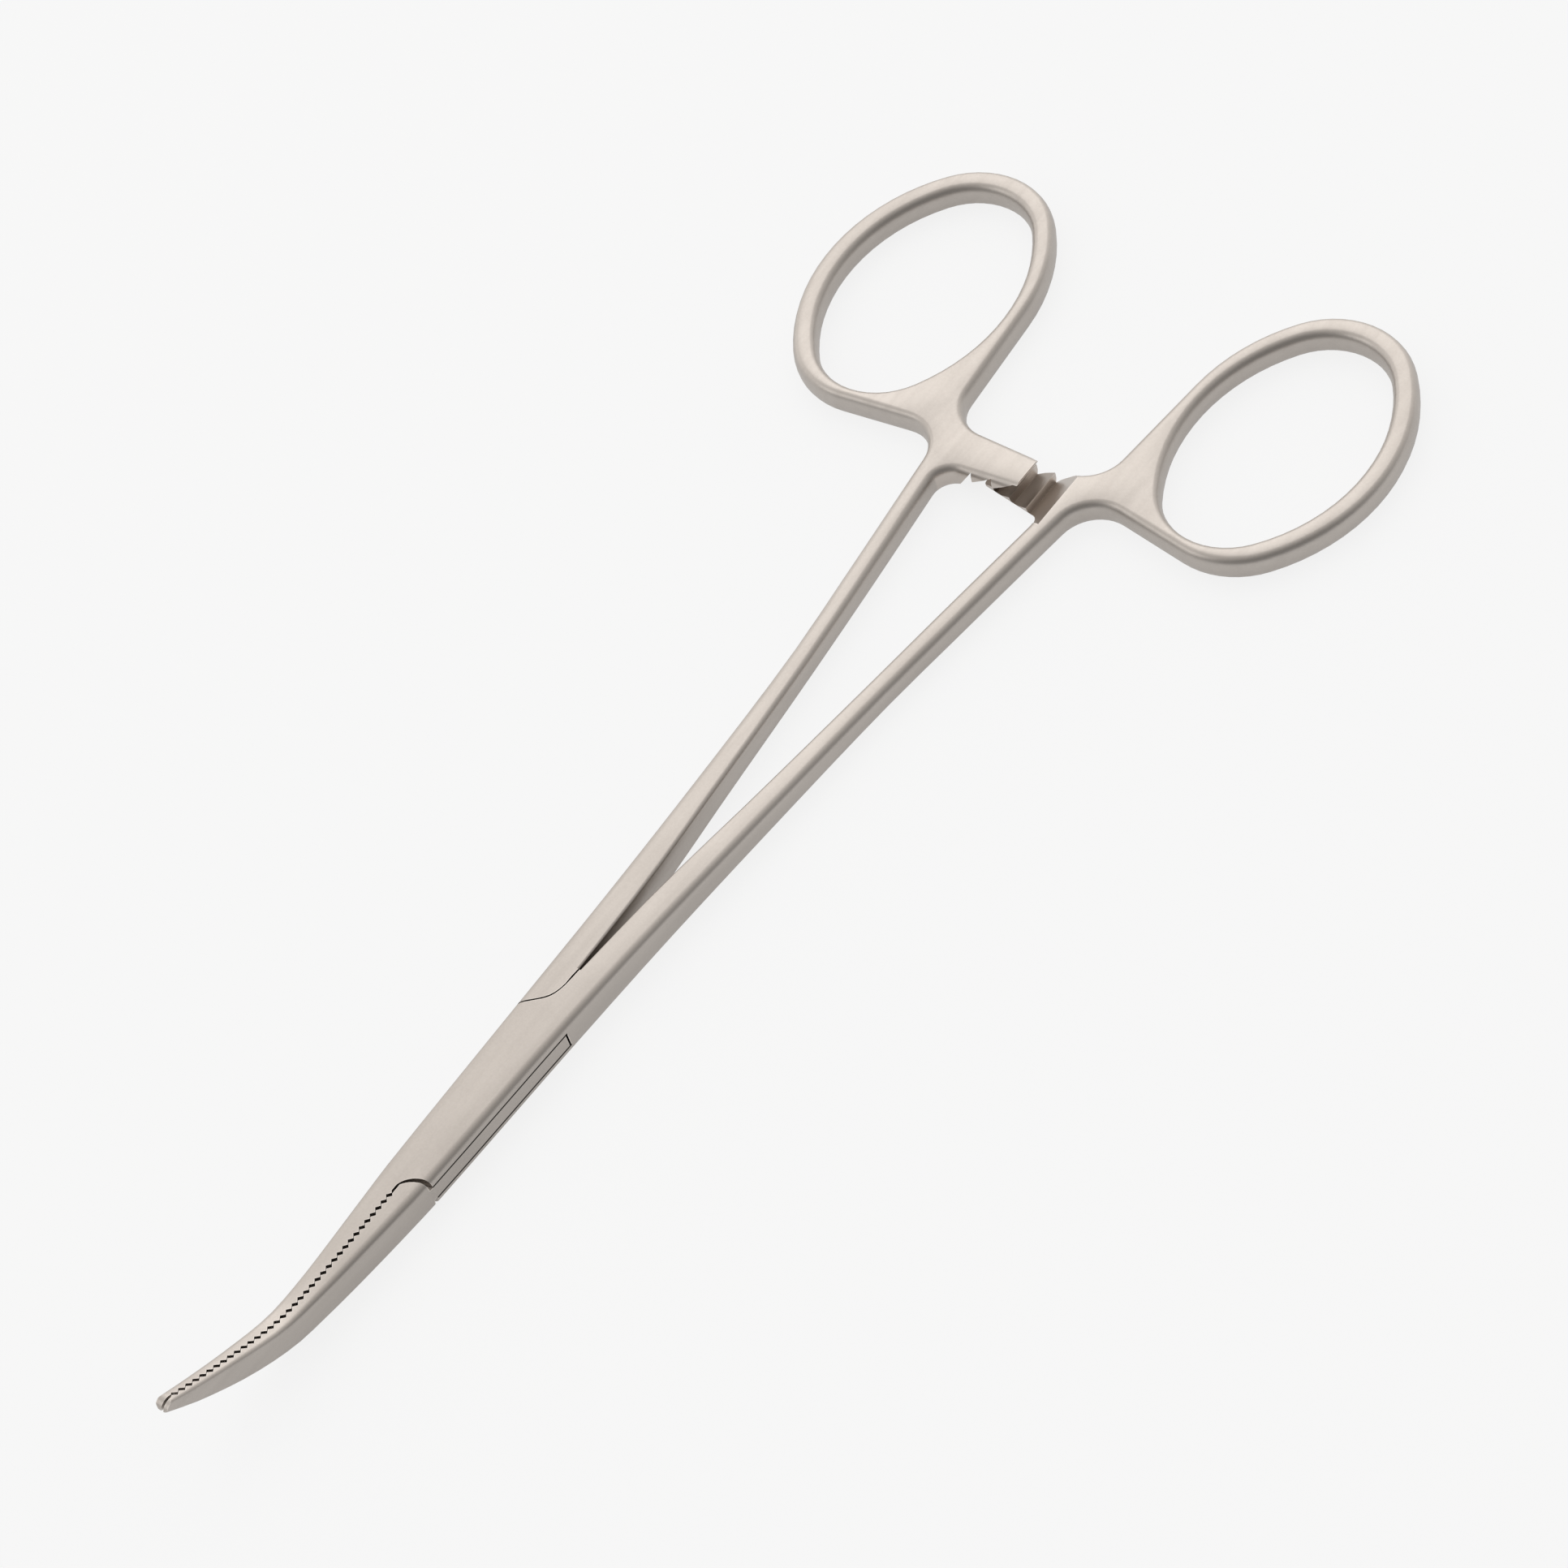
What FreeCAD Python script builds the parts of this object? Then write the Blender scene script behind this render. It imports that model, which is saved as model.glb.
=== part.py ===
import FreeCAD, Part
import os
from math import atan2, cos, degrees, hypot, radians, sin, sqrt, tan
from FreeCAD import Placement, Vector

# Curved mosquito forceps, closed and lying on its flat underside.
# Origin: on the pivot axis, at the level of the underside. X runs to the
# jaw tips, Y across the instrument, Z up. Jaws curve upwards out of the plane.
# Three pieces: the box half (cheeks of the lock), the tongue half that passes
# through the lock, and the pivot pin that is ground flush with the cheeks.

os.makedirs("parts", exist_ok=True)
doc = FreeCAD.newDocument("mosquito_forceps")
sheet = doc.addObject("Spreadsheet::Sheet", "dimensions")

SIZES = [
    # lengths along the instrument
    ("tip_reach", 43.25), ("ring_back", 116.5), ("head_front", 79.0),
    # finger rings
    ("ring_offset", 22.25), ("ring_front", 83.65), ("ring_front_radius", 9.35),
    ("ring_back_radius", 9.3), ("ring_front_rise", 0.2), ("ring_back_rise", 0.0),
    ("ring_far_radius", 20.0), ("ring_near_radius", 20.0),
    ("opening_front", 85.55), ("opening_back", 113.75),
    ("opening_front_radius", 7.45), ("opening_back_radius", 7.2),
    ("opening_front_rise", -0.7), ("opening_back_rise", -0.1),
    ("opening_far_radius", 17.6), ("opening_near_radius", 18.9),
    ("ring_thickness", 3.0), ("edge_radius", 0.8), ("head_edge_rise", 1.3),
    # web between ring, shank and tab
    ("throat_radius", 4.0), ("throat_lean", 8.0),
    ("web_back_radius", 4.2), ("web_back_lean", 5.0), ("web_front_radius", 2.1),
    # shanks
    ("shank_root_out", 8.38), ("shank_root_in", 5.98), ("shank_waist_thickness", 2.75),
    ("crotch_back", 15.3), ("crotch_half_gap", 0.1), ("crotch_edge_radius", 0.2),
    # ratchet
    ("tab_reach", 2.2), ("tab_back", 86.8), ("tab_front", 82.6), ("tab_corner", 0.6),
    ("tab_lean", 8.0),
    ("web_edge", 7.1), ("under_web_edge", 4.9), ("ratchet_pitch", 2.3), ("ratchet_depth", 1.15),
    ("ratchet_first", 1.5), ("ratchet_clearance", 0.08),
    # box lock
    ("box_thickness", 3.85), ("cheek_thickness", 1.0), ("box_half_width", 2.82),
    ("cheek_back", 9.1), ("slot_back", 9.35), ("cheek_front", 10.15),
    ("lock_clearance", 0.1), ("seam_gap", 0.12), ("jaw_seam_gap", 0.45),
    ("pin_radius", 1.0), ("pin_clearance", 0.04),
    # jaws
    ("tip_half_width", 0.7), ("tip_height", 10.78), ("tip_thickness", 1.3),
    ("tip_radius", 0.4), ("tip_round", 1.6), ("tooth_pitch", 0.8), ("tooth_depth", 0.36),
    ("tooth_gap", 0.05), ("tooth_shift", 0.22),
]
for row, (alias, value) in enumerate(SIZES, start=1):
    sheet.set(f"A{row}", alias)
    sheet.set(f"B{row}", str(value))
    sheet.setAlias(f"B{row}", alias)
doc.recompute()


def size(alias):
    return float(sheet.get(alias))


TIP = size("tip_reach")
HEAD = -size("head_front")
RING_Y = size("ring_offset")
RING_THICK = size("ring_thickness")
ROOT_OUT, ROOT_IN = size("shank_root_out"), size("shank_root_in")
# A rounded edge takes at most this share of the shank's wall at its root.
EDGE_SHARE = 0.45
EDGE = min(size("edge_radius"), EDGE_SHARE * (ROOT_OUT - ROOT_IN))
BOX_THICK = size("box_thickness")
CHEEK = size("cheek_thickness")
BOX_WIDTH = size("box_half_width")
CROTCH = -size("crotch_back")
TAB = size("tab_reach")
TAB_SPARE = 1.0
FAR = 2 * RING_Y
ABOVE = 2 * size("tip_height")
BELOW = -1.0
TINY = 1e-6
EDGE_STEPS = 4


# Edges and prisms

def point(x, y, z=0.0):
    return Vector(x, y, z)


def curve(points):
    """Smooth edge through the points."""
    spline = Part.BSplineCurve()
    spline.interpolate([point(*p) for p in points])
    return spline.toShape()


def lines(points):
    """Straight edges from point to point."""
    nodes = [point(*p) for p in points]
    return [Part.LineSegment(a, b).toShape() for a, b in zip(nodes, nodes[1:])]


def arc(centre, radius, start, stop):
    """Circular edge between two angles."""
    circle = Part.Circle(point(*centre), point(0, 0, 1), radius)
    return Part.Arc(circle, radians(start), radians(stop)).toShape()


def rounded(start, corner, stop, radius):
    """Two straight edges that meet in an arc at the corner."""
    a, c, b = point(*start), point(*corner), point(*stop)
    into, out = (c - a).normalize(), (b - c).normalize()
    half = 0.5 * into.getAngle(out)
    first, last = c - into * (radius * tan(half)), c + out * (radius * tan(half))
    middle = c + (out - into).normalize() * (radius / cos(half) - radius)
    return [Part.LineSegment(a, first).toShape(),
            Part.Arc(first, middle, last).toShape(),
            Part.LineSegment(last, b).toShape()]


def meeting(p, along, q, other):
    """Point where a line through p and a line through q cross."""
    across = along[0] * other[1] - along[1] * other[0]
    reach = ((q[0] - p[0]) * other[1] - (q[1] - p[1]) * other[0]) / across
    return (p[0] + reach * along[0], p[1] + reach * along[1])


def prism(edges, low, high):
    """Closed plan outline raised between two levels."""
    wire = Part.Wire(Part.__sortEdges__(edges))
    face = Part.Face(wire)
    face.translate(point(0, 0, low))
    return face.extrude(point(0, 0, high - low))


def spread(start, stop, spans):
    return [start + (stop - start) * i / spans for i in range(spans + 1)]


def smooth(keys, x):
    """Value at x on a smooth line through the key values."""
    last = len(keys) - 1
    i = max([k for k in range(last) if keys[k][0] <= x + TINY])

    def slope(k):
        a, b = keys[max(k - 1, 0)], keys[min(k + 1, last)]
        return (b[1] - a[1]) / (b[0] - a[0])

    (xa, ya), (xb, yb) = keys[i], keys[i + 1]
    t = (x - xa) / (xb - xa)
    return ((1 + 2 * t) * (1 - t) ** 2 * ya + t * t * (3 - 2 * t) * yb
            + (xb - xa) * t * (1 - t) * ((1 - t) * slope(i) - t * slope(i + 1)))


# Forged bar: envelope of both shanks, the lock and both closed jaws.

def half_width(x):
    return smooth([(HEAD, ROOT_OUT), (0.85 * HEAD, 0.835 * ROOT_OUT),
                   (0.7 * HEAD, 0.677 * ROOT_OUT), (0.5 * HEAD, 0.54 * ROOT_OUT),
                   (0.3 * HEAD, 1.27 * BOX_WIDTH), (0.12 * HEAD, 1.08 * BOX_WIDTH),
                   (0.0, BOX_WIDTH), (0.24 * TIP, 0.91 * BOX_WIDTH),
                   (0.34 * TIP, 0.815 * BOX_WIDTH), (0.46 * TIP, 0.68 * BOX_WIDTH),
                   (0.58 * TIP, 0.55 * BOX_WIDTH), (0.7 * TIP, 0.455 * BOX_WIDTH),
                   (0.82 * TIP, 0.36 * BOX_WIDTH), (0.92 * TIP, 0.3 * BOX_WIDTH),
                   (TIP, size("tip_half_width"))], x)


def inner_wall(x):
    """Distance of a shank's inner side from the middle plane."""
    return smooth([(HEAD, ROOT_IN), (0.85 * HEAD, 0.775 * ROOT_IN),
                   (0.7 * HEAD, 0.57 * ROOT_IN), (0.5 * HEAD, 0.325 * ROOT_IN),
                   (0.34 * HEAD, 0.12 * ROOT_IN), (CROTCH, size("crotch_half_gap"))], x)


def topside(x):
    waist, top = size("shank_waist_thickness"), size("tip_height")
    return smooth([(HEAD, RING_THICK), (0.85 * HEAD, waist + 0.08), (0.7 * HEAD, waist),
                   (0.5 * HEAD, waist + 0.3), (0.3 * HEAD, BOX_THICK - 0.35),
                   (0.12 * HEAD, BOX_THICK - 0.03), (0.0, BOX_THICK),
                   (0.46 * TIP, BOX_THICK + 0.03), (0.58 * TIP, BOX_THICK + 0.17),
                   (0.68 * TIP, BOX_THICK + 0.7), (0.8 * TIP, top - 4.2),
                   (0.92 * TIP, top - 1.8), (TIP, top)], x)


def underside(x):
    top = size("tip_height")
    level = smooth([(HEAD, 0.0), (0.3 * TIP, 0.0), (0.46 * TIP, 0.1), (0.58 * TIP, 0.42),
                    (0.68 * TIP, 1.1), (0.8 * TIP, top - 7.5), (0.92 * TIP, top - 4.15),
                    (TIP, top - size("tip_thickness"))], x)
    return max(level, 0.0)


def jaw_edge(x):
    """Rounding of the long edges, finer towards the tips."""
    return smooth([(HEAD, EDGE), (0.0, EDGE), (0.3 * TIP, EDGE), (0.6 * TIP, 0.78 * EDGE),
                   (TIP, size("tip_radius"))], x)


def rounding(inset, rise):
    """Steps of a rounded edge: distance in from the wall, height above its foot."""
    turns = [radians(90) * i / EDGE_STEPS for i in range(EDGE_STEPS + 1)]
    return [(inset * (1 - cos(turn)), rise * sin(turn)) for turn in turns]


def section(x, near, far, near_radius, far_radius, stretch=1.0, lift=1.0):
    """Rounded rectangle across the bar, from one side wall to the other."""
    low, high = underside(x), topside(x)
    nodes = []
    for wall, inward, radius, up in [(far, -1, far_radius, 1), (near, 1, near_radius, 1),
                                     (near, 1, near_radius, -1), (far, -1, far_radius, -1)]:
        foot = high - lift * radius if up > 0 else low + lift * radius
        corner = [Vector(x, wall + inward * inset, foot + up * rise)
                  for inset, rise in rounding(stretch * radius, lift * radius)]
        nodes += corner if inward * up < 0 else corner[::-1]
    return Part.makePolygon(nodes + nodes[:1])


def front_bar():
    """Lock and both closed jaws in one, rounded at the tips."""
    places = spread(CROTCH, 0.25 * TIP, 5) + spread(0.25 * TIP, TIP, 20)[1:]
    wires = [section(x, -half_width(x), half_width(x), jaw_edge(x), jaw_edge(x))
             for x in places]
    bar = Part.makeLoft(wires, True, True)
    return bar.common(nose_plan()).common(nose_side())


def nose_plan():
    """Plan that rounds off the jaw tips."""
    back = TIP - size("tip_round")
    wide = half_width(back) + 0.02
    front = Part.Arc(point(back, -wide), point(TIP, 0), point(back, wide)).toShape()
    rest = lines([(back, wide), (back, FAR), (HEAD, FAR), (HEAD, -FAR), (back, -FAR),
                  (back, -wide)])
    return prism([front] + rest, BELOW, ABOVE)


def nose_side():
    """Side outline that rounds the tips off towards top and underside."""
    back = TIP - size("tip_round")
    low, high = underside(back) - 0.02, topside(back) + 0.02
    nodes = [Vector(back, -FAR, low), Vector(TIP, -FAR, 0.4 * low + 0.6 * high),
             Vector(back, -FAR, high)]
    walk = [nodes[2], Vector(back, -FAR, ABOVE), Vector(HEAD, -FAR, ABOVE),
            Vector(HEAD, -FAR, BELOW), Vector(back, -FAR, BELOW), nodes[0]]
    edges = [Part.Arc(*nodes).toShape()]
    edges += [Part.LineSegment(p, q).toShape() for p, q in zip(walk, walk[1:])]
    return Part.Face(Part.Wire(edges)).extrude(Vector(0, 2 * FAR, 0))


def root_lean():
    """Angle in plan between a shank's walls and the middle plane at its root."""
    step = 0.15 * HEAD
    return atan2(half_width(HEAD) - half_width(HEAD - step), -step)


def shank(side):
    """One shank from the finger-ring head to the lock, slimmest at its waist."""
    wires = []
    for x in spread(HEAD, CROTCH, 14):
        rear = (x - CROTCH) / (HEAD - CROTCH)
        inner = size("crotch_edge_radius") * (1 - rear) + EDGE * rear
        walls = [(inner_wall(x), inner), (half_width(x), EDGE)]
        if side < 0:
            walls = [(-wall, radius) for wall, radius in walls[::-1]]
        (near, near_radius), (far, far_radius) = walls
        stretch = 1 + rear * (1 / cos(root_lean()) - 1)
        lift = 1 + rear ** 2 * (size("head_edge_rise") / EDGE - 1)
        wires.append(section(x, near, far, near_radius, far_radius, stretch, lift))
    return Part.makeLoft(wires, True, True)


# Finger-ring head: ring, web, start of the shank and ratchet tab, one outline.

def bearing(start, stop):
    """Angle in plan from one point to another."""
    return degrees(atan2(stop[1] - start[1], stop[0] - start[0])) % 360


def around(front, back, radius, turn):
    """Centre of the side arc that both end circles touch from inside."""
    (xa, ya), ra = front
    (xb, yb), rb = back
    apart = hypot(xa - xb, ya - yb)
    along = ((radius - ra) ** 2 - (radius - rb) ** 2 + apart ** 2) / (2 * apart)
    aside = turn * sqrt((radius - ra) ** 2 - along ** 2)
    ux, uy = (xb - xa) / apart, (yb - ya) / apart
    return (xa + ux * along - uy * aside, ya + uy * along + ux * aside)


def egg(name, growth):
    """Front, far, back and near arc of a ring outline: centre, radius, angles."""
    ra, rb = size(f"{name}_front_radius"), size(f"{name}_back_radius")
    front = ((-size(f"{name}_front") - ra, RING_Y + size(f"{name}_front_rise")), ra)
    back = ((rb - size(f"{name}_back"), RING_Y + size(f"{name}_back_rise")), rb)
    far_radius, near_radius = size(f"{name}_far_radius"), size(f"{name}_near_radius")
    far, near = around(front, back, far_radius, 1), around(front, back, near_radius, -1)
    turns = [bearing(far, front[0]), bearing(far, back[0]),
             bearing(near, back[0]), bearing(near, front[0])]
    return [(front[0], ra + growth, turns[3] - 360, turns[0]),
            (far, far_radius + growth, turns[0], turns[1]),
            (back[0], rb + growth, turns[1], turns[2]),
            (near, near_radius + growth, turns[2], turns[3])]


def on_arc(part, angle):
    """Point of an arc at an angle, and the direction there."""
    (x, y), radius = part[0], part[1]
    turn = radians(angle)
    return ((x + radius * cos(turn), y + radius * sin(turn)), (-sin(turn), cos(turn)))


def head_outline(side, inset):
    """Outline of ring, web and tab, moved into the material by the inset."""
    front, far, back, near = egg("ring", -inset)
    throat, leaving = -size("throat_lean"), 270 - size("web_back_lean")
    start, up = on_arc(front, throat)
    end, along = on_arc(near, leaving)
    lean = root_lean()
    wall = (-cos(lean), sin(lean))
    root_out = (HEAD, ROOT_OUT - inset / cos(lean))
    root_in = (HEAD, ROOT_IN + inset / cos(lean))
    tab_lean = size("tab_lean")
    rising = (sin(radians(tab_lean)), cos(radians(tab_lean)))
    tab_end = -TAB - TAB_SPARE
    tab_back = (inset - size("tab_back"), tab_end)
    tab_front = (-size("tab_front") - inset / rising[1]
                 - TAB_SPARE * rising[0] / rising[1], tab_end)
    corner_out = meeting(start, up, root_out, wall)
    corner_in = meeting(tab_front, rising, root_in, wall)
    corner_back = meeting(end, along, tab_back, (0.0, 1.0))
    edges = [arc(front[0], front[1], throat, front[3]), arc(*far), arc(*back),
             arc(near[0], near[1], near[2], leaving)]
    edges += rounded(end, corner_back, tab_back, size("web_back_radius") + inset)
    edges += lines([tab_back, tab_front])
    edges += rounded(tab_front, corner_in, root_in, size("web_front_radius") + inset)
    edges += lines([root_in, root_out])
    edges += rounded(root_out, corner_out, start, size("throat_radius") + inset)
    if side < 0:
        edges = [e.mirror(point(0, 0), point(0, 1)) for e in edges]
    return edges


def opening_outline(side, outset):
    """Outline of the finger opening, grown into the material by the outset."""
    edges = [arc(*part) for part in egg("opening", outset)]
    if side < 0:
        edges = [e.mirror(point(0, 0), point(0, 1)) for e in edges]
    return edges


def layered(outline, side, levels):
    """Solid through one outline at several levels, each with its own offset."""
    wires = []
    for offset, level in levels:
        wire = Part.Wire(outline(side, offset))
        wire.translate(point(0, 0, level))
        wires.append(wire)
    return Part.makeLoft(wires, True, True)


def head(side):
    """Ring, web and tab, rounded along their long top and bottom edges."""
    full = size("head_edge_rise")
    top = [(inset, RING_THICK - full + rise) for inset, rise in rounding(EDGE, full)]
    low = [(inset, full - rise) for inset, rise in rounding(EDGE, full)][::-1]
    plate = layered(head_outline, side, low + top)
    hole = layered(opening_outline, side,
                   [(EDGE, BELOW)] + low + top + [(EDGE, RING_THICK - BELOW)])
    return plate.cut([hole, tab_trim(side)])


def tab_trim(side):
    """Space past the end of a tab, with the tab's rounded corners."""
    clear, round_off = 0.05, size("tab_corner")
    back, front = -size("tab_back") - clear, -size("tab_front") + clear
    edges = rounded((back, -TAB + 1.5 * round_off), (back, -TAB),
                    (0.5 * (back + front), -TAB), round_off)
    edges += rounded((0.5 * (back + front), -TAB), (front, -TAB),
                     (front, -TAB + 1.5 * round_off), round_off)
    edges += lines([(front, -TAB + 1.5 * round_off), (front + 1, -TAB + 1.5 * round_off),
                    (front + 1, -FAR), (back - 1, -FAR),
                    (back - 1, -TAB + 1.5 * round_off), (back, -TAB + 1.5 * round_off)])
    if side < 0:
        edges = [e.mirror(point(0, 0), point(0, 1)) for e in edges]
    return prism(edges, BELOW, ABOVE)


# Ratchet

def saw_profile():
    """Top of the lower tab, from its end to the web: y and z."""
    pitch, depth = size("ratchet_pitch"), size("ratchet_depth")
    crest = 0.5 * (RING_THICK - size("ratchet_clearance"))
    valley = crest - depth
    first = size("ratchet_first")
    pts = [(-TAB - 1.0, valley + 0.1)]
    for i in (-1, 0, 1):
        y = first + i * pitch
        pts += [(y, crest), (y + 0.08, valley)]
    pts.append((size("web_edge"), RING_THICK))
    return pts


def lower_saw():
    """Space over the tab of the box half, down to its saw teeth."""
    profile = saw_profile()
    return across(profile + [(size("web_edge"), ABOVE), (profile[0][0], ABOVE),
                             profile[0]])


def upper_profile():
    """Underside of the upper tab, from its end to the web: y and z."""
    pitch, depth = size("ratchet_pitch"), size("ratchet_depth")
    tooth = 0.5 * (RING_THICK + size("ratchet_clearance"))
    valley = tooth + depth
    first = size("ratchet_first") + 0.16
    pts = [(TAB + 1.0, valley), (first, valley)]
    for i in (1, 2):
        y = first - i * pitch
        pts += [(y, tooth), (y - 0.08, valley)]
    pts.append((-size("under_web_edge"), 0.0))
    return pts


def upper_saw():
    """Space under the tab of the tongue half, up to its saw teeth."""
    profile = upper_profile()
    return across(profile + [(-size("under_web_edge"), BELOW), (profile[0][0], BELOW),
                             profile[0]])


def across(profile):
    """Y-Z profile raised along X over the width of the tabs."""
    back = -size("tab_back") - 3.0
    nodes = [Vector(back, y, z) for y, z in profile]
    return Part.Face(Part.makePolygon(nodes)).extrude(Vector(HEAD - 0.8 - back, 0, 0))


# Lock seams in plan. A rear seam runs from the crotch of the shanks to the
# side of the box, a jaw seam from the side of the box to the jaw line.

def rear_seam(side, back, shift=0.0, drop=0.0):
    """Seam points from the crotch out to the box side, moved in X and Y."""
    end = -size(back)
    pts = [(CROTCH, -0.1), (end - 3.9, 0.03), (end - 3.1, 0.2), (end - 2.5, 0.45),
           (end - 1.8, 1.0), (end - 0.9, 2.0), (end, 3.05), (end + 0.4, 3.6)]
    return [(x + shift, side * y + drop) for x, y in pts]


def jaw_seam(side, shift=0.0, drop=0.0):
    """Seam points from the jaw line out to the box side, moved in X and Y."""
    end = size("cheek_front")
    pts = [(end + 1.95, 0.0), (end + 1.15, 0.4), (end + 0.55, 1.1), (end + 0.15, 2.1),
           (end, 3.4)]
    return [(x + shift, side * y + drop) for x, y in pts]


def serration(shift=0.0, offset=0.0):
    """Jaw line in plan: a row of V teeth from the jaw seam to the tip."""
    pitch, depth = size("tooth_pitch"), size("tooth_depth")
    first = size("cheek_front") + 2.65
    pts = [(first + shift, offset)]
    count = int((TIP - 1.2 - first) / pitch)
    for i in range(count):
        x = first + shift + i * pitch
        pts += [(x + 0.25 * pitch, offset + 0.5 * depth),
                (x + 0.75 * pitch, offset - 0.5 * depth)]
    pts.append((first + shift + count * pitch, offset))
    return pts


def front_region(side, back, fit, line_shift, line_offset):
    """Plan of the lock and jaw of one half, ahead of the crotch."""
    rear = rear_seam(-side, back, fit, side * fit)
    rear[0] = (CROTCH, side * size("crotch_half_gap"))
    nose = jaw_seam(side, -fit, -side * fit)
    nose[0] = (nose[0][0], line_offset)
    teeth = serration(line_shift, line_offset)
    edges = [curve(rear), curve(nose)]
    edges += lines([rear[-1], (rear[-1][0], -side * FAR),
                    (TIP + 2, -side * FAR), (TIP + 2, line_offset)]
                   + teeth[::-1] + [nose[0]])
    edges += lines([nose[-1], (nose[-1][0], side * FAR), (CROTCH, side * FAR),
                    rear[0]])
    return edges


def slot_cutter():
    """Slot through the box, side to side, that the tongue fills."""
    rear, nose = rear_seam(1, "slot_back"), jaw_seam(-1)
    edges = [curve(rear), curve(nose)]
    edges += lines([rear[-1], (rear[-1][0], FAR), (TIP, FAR), (TIP, 0.0), nose[0]])
    edges += lines([nose[-1], (nose[-1][0], -FAR), (CROTCH - 2, -FAR),
                    (CROTCH - 2, rear[0][1]), rear[0]])
    return prism(edges, CHEEK, BOX_THICK - CHEEK)


def cheek_room():
    """Space above and below the tongue that the two cheeks take."""
    gap, fit = size("seam_gap"), size("lock_clearance")
    rear = rear_seam(-1, "cheek_back", -gap, -gap)
    nose = jaw_seam(1, size("jaw_seam_gap"))
    edges = [curve(rear), curve(nose)]
    edges += lines([rear[-1], (rear[-1][0], -FAR), (nose[0][0], -FAR), nose[0]])
    edges += lines([nose[-1], (nose[-1][0], FAR), (rear[0][0], FAR), rear[0]])
    return [prism(edges, BELOW, CHEEK + fit),
            prism(edges, BOX_THICK - CHEEK - fit, ABOVE)]


def box_half_forging(bar):
    plan = front_region(1, "cheek_back", 0.0, 0.0, 0.0)
    front = bar.common(prism(plan, BELOW, ABOVE)).cut(slot_cutter())
    return head(1).cut(lower_saw()).fuse([shank(1), front]).removeSplitter()


def tongue_half_forging(bar):
    shift = size("tooth_shift")
    plan = front_region(-1, "slot_back", size("seam_gap"), shift,
                        shift + size("tooth_gap"))
    front = bar.common(prism(plan, BELOW, ABOVE))
    body = head(-1).cut(upper_saw()).fuse([shank(-1), front])
    return body.cut(cheek_room()).removeSplitter()


def forging(name, shape):
    """Free-form forged shape: no primitive or pad gives its double curves."""
    item = doc.addObject("Part::Feature", name)
    item.Shape = shape
    item.Placement = Placement()
    return item


def cylinder(name, radius, height):
    item = doc.addObject("Part::Cylinder", name)
    item.setExpression("Radius", radius)
    item.setExpression("Height", height)
    return item


def bored(name, blank, bore):
    item = doc.addObject("Part::Cut", name)
    item.Base, item.Tool = blank, bore
    item.Label = name
    item.Placement = Placement()
    return item


bar = front_bar()
box_blank = forging("box_forging", box_half_forging(bar))
tongue_blank = forging("tongue_forging", tongue_half_forging(bar))

pin = cylinder("pivot_pin", "dimensions.pin_radius", "dimensions.box_thickness")
pin.Label = "pivot_pin"
cheek_bore = cylinder("cheek_bore", "dimensions.pin_radius",
                      "dimensions.box_thickness")
tongue_bore = cylinder("tongue_bore",
                       "dimensions.pin_radius + dimensions.pin_clearance",
                       "dimensions.box_thickness")
pieces = [bored("box_half", box_blank, cheek_bore),
          bored("tongue_half", tongue_blank, tongue_bore), pin]
doc.recompute()

for item in doc.Objects:
    if "Invalid" in item.State or "Error" in item.State:
        raise RuntimeError(f"{item.Name} failed: {item.State}")
for piece in pieces:
    shape = piece.Shape
    if shape.isNull() or not shape.isValid() or len(shape.Solids) != 1:
        raise RuntimeError(f"{piece.Label} is not one sound solid")
for piece in pieces:
    piece.Shape.exportStep(f"parts/{piece.Label}.step")
    print(piece.Label, round(piece.Shape.Volume, 2), piece.Shape.BoundBox)
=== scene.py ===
import bpy
from math import pi, radians
from mathutils import Matrix, Vector

# Curved mosquito forceps of satin steel, closed and lying on a pale floor.
# Metres; X runs to the jaw tips, Y across the instrument, Z up.

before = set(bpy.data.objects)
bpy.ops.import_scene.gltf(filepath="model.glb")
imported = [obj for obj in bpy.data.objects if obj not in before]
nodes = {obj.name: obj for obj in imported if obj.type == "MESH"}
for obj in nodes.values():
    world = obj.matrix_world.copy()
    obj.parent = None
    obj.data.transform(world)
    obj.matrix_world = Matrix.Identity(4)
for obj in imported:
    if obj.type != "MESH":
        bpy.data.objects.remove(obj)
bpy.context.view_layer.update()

# Camera: turn about Z, drop below the horizon and roll, in radians.
VIEW_TURN, VIEW_DROP, VIEW_ROLL = 2.503928, 0.894723, -0.349909
VIEW_TARGET = Vector((-0.0437834, 0.0018970, 0.0))
VIEW_DISTANCE = 0.50705
LENS, SENSOR = 121.118, 36.0
CLIP_NEAR, CLIP_FAR = 0.01, 20.0

# Steel colours, linear
STEEL_PALE = (0.66, 0.602, 0.552, 1.0)
STEEL_DEEP = (0.575, 0.522, 0.476, 1.0)
STEEL_WORN = (0.76, 0.70, 0.65, 1.0)
STEEL_CUT = (0.60, 0.545, 0.50, 1.0)
# Painted shade: a darker steel for walls, standing in for the dim room they mirror
STEEL_WALL_SHADE = (0.42, 0.395, 0.37, 1.0)
# Painted shadow: near black for the shaded gaps of the lock's slot
STEEL_SEAM_SHADOW = (0.05, 0.045, 0.04, 1.0)

# Grain of the steel: brush strokes along X, fine grain and broad clouds
BRUSH_STRETCH = (60.0, 900.0, 900.0)
GRAIN_SCALE, CLOUD_SCALE = 4500.0, 55.0
CLOUD_SHARE, BRUSH_SHARE, GRAIN_SHARE = 0.4, 0.35, 0.25
BUMP_STRENGTH, BUMP_DEPTH = 0.2, 0.00002

# The steel deepens a little from the shanks towards the jaws.
SHANK_X, JAW_X = -0.055, 0.02
SHANK_TONE, JAW_TONE = 0.05, -0.09

# How upright a normal is on a wall and on a top face, and the share of painted shade
# darkening the walls
ON_WALL, ON_TOP = 0.45, 0.85
WALL_SHADE_SHARE = 0.5

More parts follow.
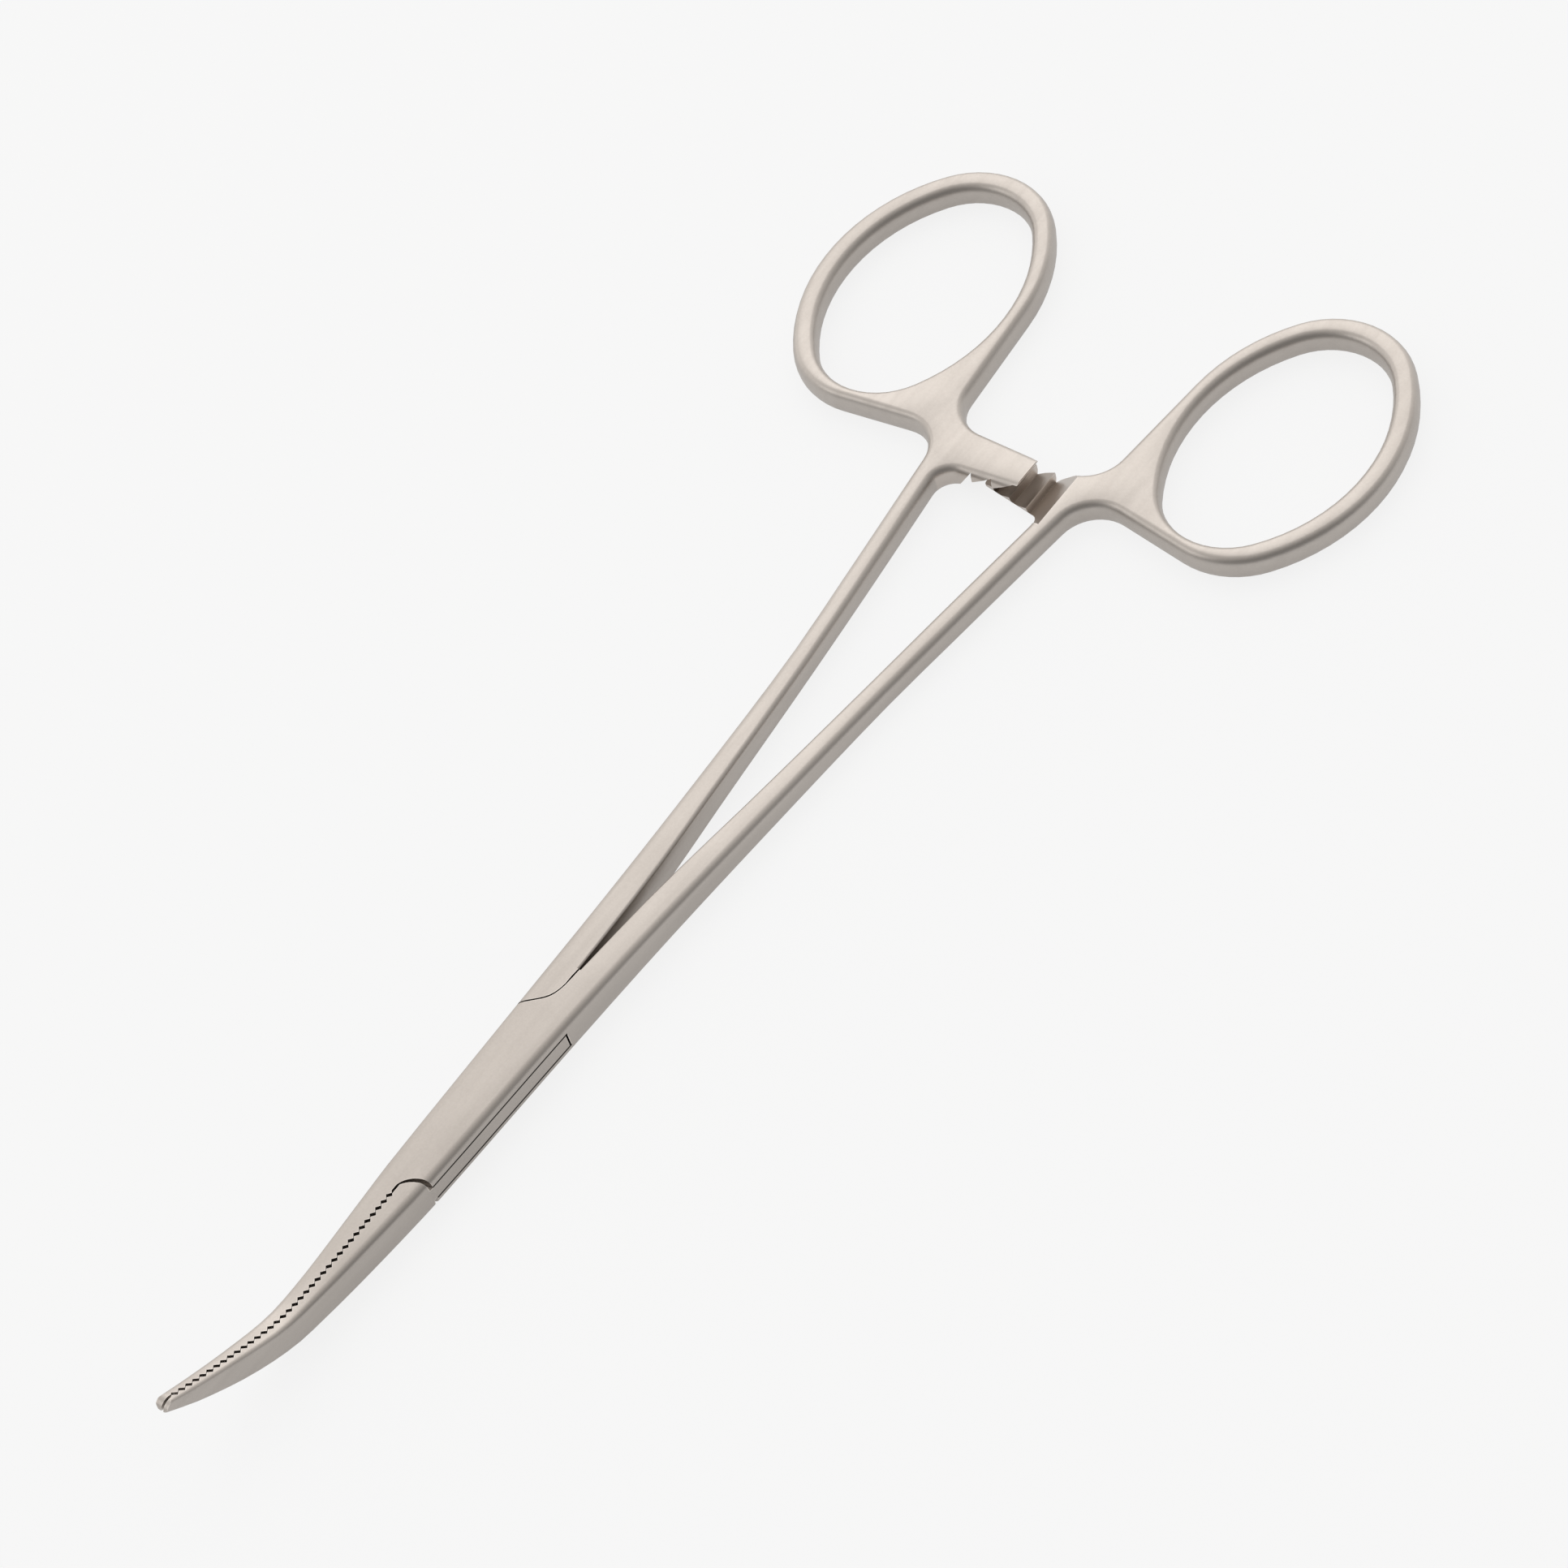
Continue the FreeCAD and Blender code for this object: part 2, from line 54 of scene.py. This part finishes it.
# Roughness of dark and pale grain, and what wear and cutting take off it
ROUGH_DEEP, ROUGH_PALE = 0.42, 0.33
WORN_POLISH, CUT_POLISH = 0.12, 0.05
WORN_REACH = 0.00018

# Zones of the metal as X, Y and Z limits, and the softness of their ends
RATCHET = ((-0.0880, -0.0800), (-0.0030, 0.0068), (0.0, 0.00290))
RATCHET_UPPER = ((-0.0880, -0.0800), (-0.0068, 0.0030), (-0.001, 0.00275))
LOCK_LONG, LOCK_WIDE = (-0.0094, 0.0102), (-0.0040, 0.0040)
# Painted shadow: bands on the lock's walls where the slot's gaps lie in shade
SEAM_SHADOWS = [(LOCK_LONG, LOCK_WIDE, (0.00094, 0.00116)),
         (LOCK_LONG, LOCK_WIDE, (0.00269, 0.00291))]
CUT_SOFT, SEAM_SHADOW_SOFT, SPOT_SOFT = 0.0001, 0.00003, 0.00001

# Top of the lock over the pin, kept free of worn edges
PIN_SPOT = ((-0.0012, 0.0012), (-0.0012, 0.0012), (0.0037, 0.0040))

# Smoothing
SMOOTH_BELOW = radians(32.0)
MERGE_DISTANCE = 0.000001

# Floor: how white the camera and glossy rays find it
FLOOR_SIZE, FLOOR_DROP = 6.0, 0.00002
FLOOR_DEEP, FLOOR_PALE = (0.90, 0.90, 0.90, 1.0), (0.915, 0.915, 0.915, 1.0)
WHITE_SEEN, WHITE_MIRRORED = 0.82, 0.55

# World: direction of its dim side, and its level on both sides
DIM_SIDE = (0.596, 0.803, 0.0)
BRIGHT_LEVEL, DIM_LEVEL = 0.98, 0.26
ROOM_COLOUR = (1.0, 0.995, 0.985, 1.0)


# Node helpers

def tree_of(material):
    material.use_nodes = True
    tree = material.node_tree
    tree.nodes.clear()
    return tree


def add(tree, kind, **values):
    node = tree.nodes.new(kind)
    for key, value in values.items():
        setattr(node, key, value)
    return node


def link(tree, source, target):
    tree.links.new(source, target)


def noise(tree, coordinates, scale, detail):
    node = add(tree, "ShaderNodeTexNoise")
    node.inputs["Scale"].default_value = scale
    node.inputs["Detail"].default_value = detail
    link(tree, coordinates, node.inputs["Vector"])
    return node.outputs["Fac"]


def stretched(tree, source, factors):
    node = add(tree, "ShaderNodeMapping")
    node.inputs["Scale"].default_value = factors
    link(tree, source, node.inputs["Vector"])
    return node.outputs["Vector"]


def remap(tree, value, low, high, out_low, out_high):
    node = add(tree, "ShaderNodeMapRange")
    for name, number in (("From Min", low), ("From Max", high), ("To Min", out_low),
                         ("To Max", out_high)):
        node.inputs[name].default_value = number
    link(tree, value, node.inputs["Value"])
    return node.outputs["Result"]


def calc(tree, operation, *values):
    node = add(tree, "ShaderNodeMath", operation=operation)
    for socket, value in zip(node.inputs, values):
        if isinstance(value, float):
            socket.default_value = value
        else:
            link(tree, value, socket)
    return node.outputs[0]


def blend(tree, factor, first, second):
    node = add(tree, "ShaderNodeMix", data_type="RGBA")
    link(tree, factor, node.inputs["Factor"])
    for socket, value in ((node.inputs[6], first), (node.inputs[7], second)):
        if isinstance(value, tuple):
            socket.default_value = value
        else:
            link(tree, value, socket)
    return node.outputs[2]


def worn_edges(tree, reach):
    """Near 1 on sharp outer edges, 0 on faces."""
    rounded = add(tree, "ShaderNodeBevel", samples=6)
    rounded.inputs["Radius"].default_value = reach
    here = add(tree, "ShaderNodeNewGeometry")
    meet = add(tree, "ShaderNodeVectorMath", operation="DOT_PRODUCT")
    link(tree, rounded.outputs["Normal"], meet.inputs[0])
    link(tree, here.outputs["Normal"], meet.inputs[1])
    return remap(tree, meet.outputs["Value"], 0.995, 0.86, 0.0, 1.0)


def between(tree, value, low, high, soft):
    """1 between two limits, 0 outside, with soft ends."""
    rise = remap(tree, value, low - soft, low + soft, 0.0, 1.0)
    fall = remap(tree, value, high - soft, high + soft, 1.0, 0.0)
    return calc(tree, "MULTIPLY", rise, fall)


def zone_of(tree, axes, limits, soft):
    """1 inside a box given by its X, Y and Z limits, 0 outside."""
    zone = None
    for axis, (low, high) in zip("XYZ", limits):
        part = between(tree, axes.outputs[axis], low, high, soft)
        zone = calc(tree, "MULTIPLY", zone, part) if zone else part
    return zone


def split(tree, vector):
    node = add(tree, "ShaderNodeSeparateXYZ")
    link(tree, vector, node.inputs["Vector"])
    return node


# Steel

def satin_steel(name, brush_scale, wear, cut_zones, seam_shadow_zones):
    """Satin steel brushed along X, with painted shade on its walls, cut teeth and painted
    shadow along the lock's seams.
    """
    material = bpy.data.materials.new(name)
    tree = tree_of(material)
    where = add(tree, "ShaderNodeTexCoord")
    place = where.outputs["Object"]
    axes = split(tree, place)
    facing = split(tree, where.outputs["Normal"])
    strokes = noise(tree, stretched(tree, place, BRUSH_STRETCH), brush_scale, 4.0)
    grain = noise(tree, place, GRAIN_SCALE, 2.0)
    cloud = noise(tree, place, CLOUD_SCALE, 3.0)

    tone = calc(tree, "ADD", calc(tree, "MULTIPLY", cloud, CLOUD_SHARE),
                calc(tree, "MULTIPLY", strokes, BRUSH_SHARE))
    tone = calc(tree, "ADD", tone, calc(tree, "MULTIPLY", grain, GRAIN_SHARE))
    along = remap(tree, axes.outputs["X"], SHANK_X, JAW_X, SHANK_TONE, JAW_TONE)
    tone = calc(tree, "ADD", tone, along)
    colour = blend(tree, remap(tree, tone, 0.35, 0.65, 0.0, 1.0), STEEL_DEEP, STEEL_PALE)

    upright = calc(tree, "ABSOLUTE", facing.outputs["Z"])
    steep = remap(tree, upright, ON_TOP, ON_WALL, 0.0, 1.0)
    # Painted shade: steep walls are blended towards a darker steel colour
    colour = blend(tree, calc(tree, "MULTIPLY", steep, WALL_SHADE_SHARE), colour, STEEL_WALL_SHADE)

    worn = calc(tree, "MULTIPLY", worn_edges(tree, WORN_REACH), wear)
    flush = zone_of(tree, axes, PIN_SPOT, SPOT_SOFT)
    worn = calc(tree, "SUBTRACT", worn, calc(tree, "MULTIPLY", worn, flush))
    colour = blend(tree, worn, colour, STEEL_WORN)
    rough = remap(tree, tone, 0.3, 0.7, ROUGH_DEEP, ROUGH_PALE)
    rough = calc(tree, "SUBTRACT", rough, calc(tree, "MULTIPLY", worn, WORN_POLISH))

    for limits in cut_zones:
        zone = zone_of(tree, axes, limits, CUT_SOFT)
        inner = calc(tree, "SUBTRACT", zone, calc(tree, "MULTIPLY", zone, worn))
        colour = blend(tree, inner, colour, STEEL_CUT)
        rough = calc(tree, "SUBTRACT", rough, calc(tree, "MULTIPLY", inner, CUT_POLISH))
    # Painted shadow: near-black bands on the walls at the lock's slot gaps
    for limits in seam_shadow_zones:
        seam_shadow = calc(tree, "MULTIPLY", zone_of(tree, axes, limits, SEAM_SHADOW_SOFT), steep)
        colour = blend(tree, seam_shadow, colour, STEEL_SEAM_SHADOW)

    height = calc(tree, "ADD", calc(tree, "MULTIPLY", strokes, 0.7),
                  calc(tree, "MULTIPLY", grain, 0.3))
    bump = add(tree, "ShaderNodeBump")
    bump.inputs["Strength"].default_value = BUMP_STRENGTH
    bump.inputs["Distance"].default_value = BUMP_DEPTH
    link(tree, height, bump.inputs["Height"])
    surface = add(tree, "ShaderNodeBsdfPrincipled")
    surface.inputs["Metallic"].default_value = 1.0
    link(tree, colour, surface.inputs["Base Color"])
    link(tree, rough, surface.inputs["Roughness"])
    link(tree, bump.outputs["Normal"], surface.inputs["Normal"])
    end = add(tree, "ShaderNodeOutputMaterial")
    link(tree, surface.outputs["BSDF"], end.inputs["Surface"])
    return material


def smooth_by_angle(limit):
    """Modifier group: merges seam points and shades smooth below an angle."""
    group = bpy.data.node_groups.new("smooth_by_angle", "GeometryNodeTree")
    for way in ("INPUT", "OUTPUT"):
        group.interface.new_socket("Geometry", in_out=way,
                                   socket_type="NodeSocketGeometry")
    start = add(group, "NodeGroupInput")
    merge = add(group, "GeometryNodeMergeByDistance")
    merge.inputs["Distance"].default_value = MERGE_DISTANCE
    drop = add(group, "GeometryNodeRemoveAttribute")
    drop.inputs["Name"].default_value = "custom_normal"
    faces = add(group, "GeometryNodeSetShadeSmooth", domain="FACE")
    edges = add(group, "GeometryNodeSetShadeSmooth", domain="EDGE")
    angle = add(group, "GeometryNodeInputMeshEdgeAngle")
    below = add(group, "FunctionNodeCompare", data_type="FLOAT", operation="LESS_THAN")
    below.inputs["B"].default_value = limit
    end = add(group, "NodeGroupOutput")
    link(group, angle.outputs["Unsigned Angle"], below.inputs["A"])
    link(group, below.outputs["Result"], edges.inputs["Shade Smooth"])
    chain = [start, drop, merge, faces, edges, end]
    for source, target in zip(chain, chain[1:]):
        link(group, source.outputs["Geometry"], target.inputs["Geometry"])
    return group


# Pieces

finishes = {
    "box_half": satin_steel("satin_steel_box_half", 1.0, 0.8, [RATCHET], SEAM_SHADOWS),
    "tongue_half": satin_steel("satin_steel_tongue_half", 1.3, 0.8, [RATCHET_UPPER], SEAM_SHADOWS),
    "pivot_pin": satin_steel("ground_steel_pin", 1.7, 0.1, [], []),
}
smoothing = smooth_by_angle(SMOOTH_BELOW)
for name, material in finishes.items():
    node = nodes[name]
    node.data.materials.clear()
    node.data.materials.append(material)
    modifier = node.modifiers.new("smooth_by_angle", "NODES")
    modifier.node_group = smoothing


# Floor

def floor_material():
    """Pale matt floor that looks near white yet keeps the shadow."""
    material = bpy.data.materials.new("pale_floor")
    tree = tree_of(material)
    place = add(tree, "ShaderNodeTexCoord").outputs["Object"]
    colour = blend(tree, noise(tree, place, 3.0, 2.0), FLOOR_DEEP, FLOOR_PALE)
    matt = add(tree, "ShaderNodeBsdfDiffuse")
    link(tree, colour, matt.inputs["Color"])
    white = add(tree, "ShaderNodeEmission")
    white.inputs["Color"].default_value = (1.0, 1.0, 1.0, 1.0)
    path = add(tree, "ShaderNodeLightPath")
    seen = calc(tree, "MAXIMUM", path.outputs["Is Camera Ray"],
                path.outputs["Is Transmission Ray"])
    share = calc(tree, "MAXIMUM", calc(tree, "MULTIPLY", seen, WHITE_SEEN),
                 calc(tree, "MULTIPLY", path.outputs["Is Glossy Ray"], WHITE_MIRRORED))
    choose = add(tree, "ShaderNodeMixShader")
    link(tree, share, choose.inputs["Fac"])
    link(tree, matt.outputs["BSDF"], choose.inputs[1])
    link(tree, white.outputs["Emission"], choose.inputs[2])
    end = add(tree, "ShaderNodeOutputMaterial")
    link(tree, choose.outputs["Shader"], end.inputs["Surface"])
    return material


bpy.ops.mesh.primitive_plane_add(size=FLOOR_SIZE, location=(0.0, 0.0, -FLOOR_DROP))
floor = bpy.context.object
floor.name = "floor"
floor.data.materials.append(floor_material())


# Lamps and world

def softbox(name, direction, distance, side, power):
    """Square area lamp at a distance from the view's target, aimed at it."""
    lamp = bpy.data.lights.new(name, "AREA")
    lamp.shape = "RECTANGLE"
    lamp.size, lamp.size_y = side, side
    lamp.energy = power
    item = bpy.data.objects.new(name, lamp)
    bpy.context.collection.objects.link(item)
    away = Vector(direction).normalized()
    item.location = VIEW_TARGET + distance * away
    item.rotation_euler = away.to_track_quat("Z", "Y").to_euler()


softbox("far_softbox", (-0.62, -0.42, 0.70), 1.1, 0.9, 1.1)
softbox("side_softbox", (0.8, -0.5, 0.6), 1.3, 0.7, 0.8)

world = bpy.data.worlds.new("studio")
bpy.context.scene.world = world
sky = tree_of(world)
aim = add(sky, "ShaderNodeTexCoord").outputs["Generated"]
toward = add(sky, "ShaderNodeVectorMath", operation="DOT_PRODUCT")
toward.inputs[1].default_value = DIM_SIDE
link(sky, aim, toward.inputs[0])
level = remap(sky, toward.outputs["Value"], -0.85, 0.75, BRIGHT_LEVEL, DIM_LEVEL)
room = add(sky, "ShaderNodeBackground")
room.inputs["Color"].default_value = ROOM_COLOUR
link(sky, level, room.inputs["Strength"])
sky_end = add(sky, "ShaderNodeOutputWorld")
link(sky, room.outputs["Background"], sky_end.inputs["Surface"])


# Camera

camera_data = bpy.data.cameras.new("camera")
camera_data.lens = LENS
camera_data.sensor_width = SENSOR
camera_data.clip_start, camera_data.clip_end = CLIP_NEAR, CLIP_FAR
camera = bpy.data.objects.new("camera", camera_data)
bpy.context.collection.objects.link(camera)
turned = (Matrix.Rotation(VIEW_TURN, 4, "Z") @ Matrix.Rotation(0.5 * pi - VIEW_DROP, 4, "X")
          @ Matrix.Rotation(VIEW_ROLL, 4, "Z"))
camera.matrix_world = (Matrix.Translation(VIEW_TARGET) @ turned
                       @ Matrix.Translation((0.0, 0.0, VIEW_DISTANCE)))
scene = bpy.context.scene
scene.camera = camera
scene.view_settings.view_transform = "Standard"
